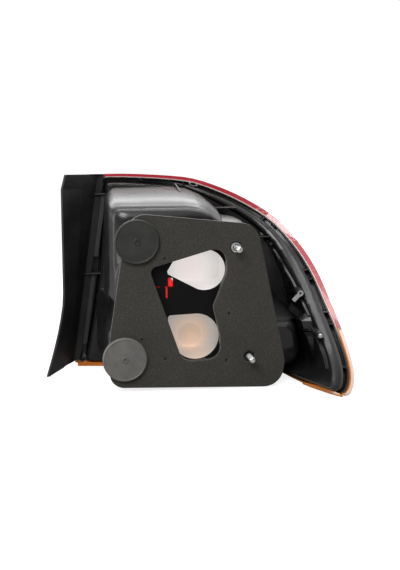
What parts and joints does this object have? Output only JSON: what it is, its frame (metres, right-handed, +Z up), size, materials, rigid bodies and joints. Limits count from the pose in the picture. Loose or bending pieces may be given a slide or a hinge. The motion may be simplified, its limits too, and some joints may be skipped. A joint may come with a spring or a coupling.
{
  "type": "car tail light",
  "caption": "Wrap-around car tail light seen from its mounting side, with red and amber lens, black housing, foam gasket, studs and a side flap.",
  "frame": {"origin": "centre of the upper bare stud on the front face of the foam gasket", "axes": "+Z up as fitted, +Y into the lamp towards the lens (the car's rear), +X towards the car's flank; the studs point along -Y"},
  "size_m": [0.3063, 0.2166, 0.215],
  "materials": {
    "housing_plastic": "moulded, fine grain, low sheen",
    "red_acrylic": "clear red, polished",
    "clear_acrylic": "clear, polished",
    "amber_acrylic": "clear amber, polished",
    "lens_adhesive": "hot-melt bead, translucent",
    "foam": "closed-cell foam, matt",
    "metallised_plastic": "vacuum metallised, semi-matt",
    "prismatic_clear": "clear, prismatic back",
    "zinc_steel": "bright zinc plated",
    "nut_plastic": "moulded, satin",
    "flap_plastic": "soft moulded, matt"
  },
  "bodies": {
    "root": {"housing": "housing_plastic", "mounting_face": "housing_plastic", "bulb_seat": "housing_plastic", "red_lens": "red_acrylic", "clear_lens": "clear_acrylic", "amber_lens": "amber_acrylic", "lens_seal": "lens_adhesive", "foam_gasket": "foam", "reflector_upper": "metallised_plastic", "reflector_lower": "metallised_plastic", "optic_upper": "prismatic_clear", "optic_lower": "prismatic_clear", "amber_filter": "amber_acrylic", "reflex_reflector": "red_acrylic", "stud_upper": "zinc_steel", "stud_lower": "zinc_steel", "nut_studs": "zinc_steel", "collar_nut": "zinc_steel", "disc_nut_upper": "nut_plastic", "disc_nut_lower": "nut_plastic", "side_flap": "flap_plastic", "flap_clip_upper": "flap_plastic", "flap_clip_lower": "flap_plastic", "eyelet_bracket": "zinc_steel", "rim_screw": "zinc_steel", "clip_ring": "zinc_steel"}
  },
  "joints": []
}
